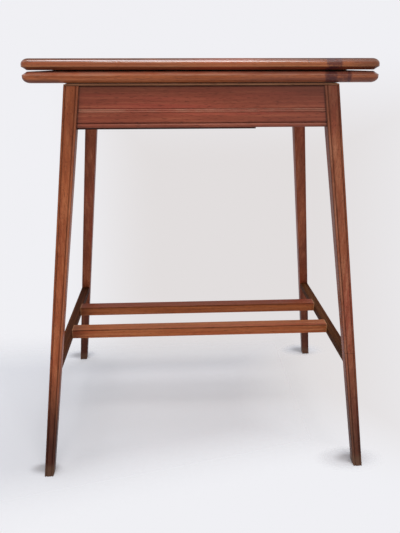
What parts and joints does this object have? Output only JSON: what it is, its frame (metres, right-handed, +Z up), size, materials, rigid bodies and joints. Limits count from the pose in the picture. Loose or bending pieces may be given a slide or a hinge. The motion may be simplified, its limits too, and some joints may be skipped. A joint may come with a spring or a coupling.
{
  "type": "folding card table",
  "caption": "Swivel-top card table with a fold-over top, reeded apron, splayed tapered legs and a stretcher frame",
  "frame": {"origin": "on the floor under the middle of the frame and of the folded top", "axes": "+X along the long side of the folded top, to the right seen from the front; +Y from the front to the fold at the back; +Z up"},
  "size_m": [0.624, 0.472, 0.7599],
  "materials": {
    "mahogany_frame": "worn french polish",
    "mahogany_top": "worn french polish",
    "inner_timber": "unpolished",
    "felt": "pressed felt",
    "baize": "woollen baize",
    "brass": "aged",
    "steel": "dull",
    "leather": "greased"
  },
  "bodies": {
    "frame": {"leg_front_left": "mahogany_frame", "leg_front_right": "mahogany_frame", "leg_back_left": "mahogany_frame", "leg_back_right": "mahogany_frame", "apron_front": "mahogany_frame", "apron_back": "mahogany_frame", "end_rail_left": "mahogany_frame", "end_rail_right": "mahogany_frame", "side_stretcher_left": "mahogany_frame", "side_stretcher_right": "mahogany_frame", "cross_rail_front": "mahogany_frame", "cross_rail_back": "mahogany_frame", "capping_front": "mahogany_frame", "capping_back": "mahogany_frame", "capping_left": "mahogany_frame", "capping_right": "mahogany_frame", "glide_felt_front": "felt", "glide_felt_back": "felt", "glide_felt_left": "felt", "glide_felt_right": "felt", "pivot_bearer": "inner_timber", "well_divider": "inner_timber", "well_bottom_board": "inner_timber", "stop_block": "inner_timber", "well_board_screws": "steel", "thrust_washer": "leather"},
    "top": {"lower_leaf": "mahogany_top", "baize_lower": "baize", "pivot_plate": "steel", "pivot_plate_screws": "steel", "pivot_bolt": "steel", "pivot_washer": "steel", "pivot_nut": "steel", "stop_peg": "inner_timber", "hinge_plate_lower_left": "brass", "hinge_plate_lower_right": "brass", "hinge_screws_lower": "brass", "hinge_pins_lower": "steel"},
    "hinge_links": {"hinge_link_left": "brass", "hinge_link_right": "brass"},
    "upper_leaf": {"upper_leaf": "mahogany_top", "baize_upper": "baize", "hinge_plate_upper_left": "brass", "hinge_plate_upper_right": "brass", "hinge_screws_upper": "brass", "hinge_pins_upper": "steel"}
  },
  "joints": [
    {"name": "top_swivel", "type": "hinge", "parent": "frame", "child": "top", "pos_m": [0.075, 0.075, 0.721], "axis": [0, 0, 1], "range_deg": [0, 90]},
    {"name": "link_fold", "type": "hinge", "parent": "top", "child": "hinge_links", "pos_m": [0, 0.14625, 0.73645], "axis": [-1, 0, 0], "range_deg": [0, 90]},
    {"name": "leaf_fold", "type": "hinge", "parent": "hinge_links", "child": "upper_leaf", "pos_m": [0, 0.14625, 0.74445], "axis": [-1, 0, 0], "range_deg": [0, 90]}
  ],
  "couplings": [
    {"joint": "link_fold", "follows": "leaf_fold", "ratio": 1}
  ]
}
